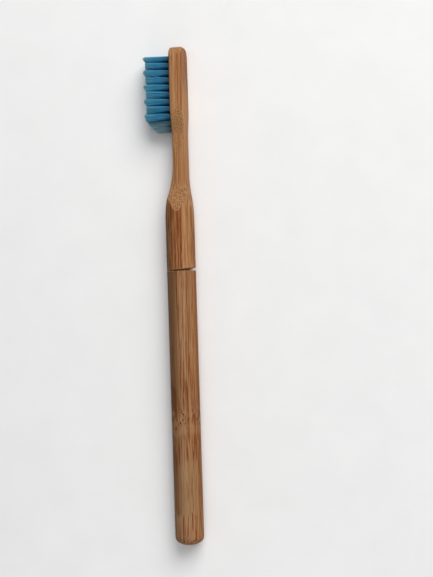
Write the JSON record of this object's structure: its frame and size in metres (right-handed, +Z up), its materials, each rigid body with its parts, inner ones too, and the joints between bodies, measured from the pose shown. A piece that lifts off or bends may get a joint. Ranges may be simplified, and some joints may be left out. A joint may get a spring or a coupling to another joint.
{
  "type": "manual toothbrush",
  "caption": "Bamboo manual toothbrush: round handle, pull-off head with a scooped neck on a dowel peg, blue nylon tufts cut in a wave with a rounded grey heel.",
  "frame": {"origin": "on the surface the brush lies on, under the middle of its box", "axes": "+Y runs from the butt of the handle to the toe of the head, -X is the way the bristles point, +Z is up with the brush lying on its side"},
  "size_m": [0.0172, 0.19, 0.011],
  "materials": {
    "handle_bamboo": "bare carbonised bamboo, sanded, matt",
    "head_bamboo": "bare carbonised bamboo, sanded, matt",
    "peg_bamboo": "bare bamboo dowel",
    "blue_nylon": "drawn nylon filament",
    "grey_nylon": "drawn nylon filament",
    "anchor_metal": "cut flat wire, bright"
  },
  "bodies": {
    "handle": {"handle": "handle_bamboo"},
    "peg": {"joint_peg": "peg_bamboo"},
    "head": {"head_blank": "head_bamboo", "tuft_01_1": "blue_nylon", "tuft_01_2": "blue_nylon", "tuft_01_3": "blue_nylon", "tuft_01_4": "blue_nylon", "tuft_02_1": "blue_nylon", "tuft_02_2": "blue_nylon", "tuft_02_3": "blue_nylon", "tuft_02_4": "blue_nylon", "tuft_03_1": "blue_nylon", "tuft_03_2": "blue_nylon", "tuft_03_3": "blue_nylon", "tuft_03_4": "blue_nylon", "tuft_04_1": "blue_nylon", "tuft_04_2": "blue_nylon", "tuft_04_3": "blue_nylon", "tuft_04_4": "blue_nylon", "tuft_05_1": "blue_nylon", "tuft_05_2": "blue_nylon", "tuft_05_3": "blue_nylon", "tuft_05_4": "blue_nylon", "tuft_06_1": "blue_nylon", "tuft_06_2": "blue_nylon", "tuft_06_3": "blue_nylon", "tuft_06_4": "blue_nylon", "tuft_07_1": "blue_nylon", "tuft_07_2": "blue_nylon", "tuft_07_3": "blue_nylon", "tuft_07_4": "blue_nylon", "tuft_08_1": "blue_nylon", "tuft_08_2": "blue_nylon", "tuft_08_3": "blue_nylon", "tuft_08_4": "blue_nylon", "tuft_09_1": "blue_nylon", "tuft_09_2": "blue_nylon", "tuft_09_3": "blue_nylon", "tuft_09_4": "blue_nylon", "tuft_10_2": "grey_nylon", "tuft_10_3": "grey_nylon", "tuft_11_2": "grey_nylon", "tuft_11_3": "grey_nylon", "anchors_01": "anchor_metal", "anchors_02": "anchor_metal", "anchors_03": "anchor_metal", "anchors_04": "anchor_metal", "anchors_05": "anchor_metal", "anchors_06": "anchor_metal", "anchors_07": "anchor_metal", "anchors_08": "anchor_metal", "anchors_09": "anchor_metal", "anchors_10": "anchor_metal", "anchors_11": "anchor_metal"}
  },
  "joints": [
    {"name": "head_pull", "type": "slide", "parent": "handle", "child": "peg", "axis": [0, 1, 0], "range_m": [0, 0.02]},
    {"name": "head_turn", "type": "hinge", "parent": "peg", "child": "head", "pos_m": [0.00313, 0.0098, 0.0055], "axis": [0, 1, 0], "continuous": true}
  ]
}
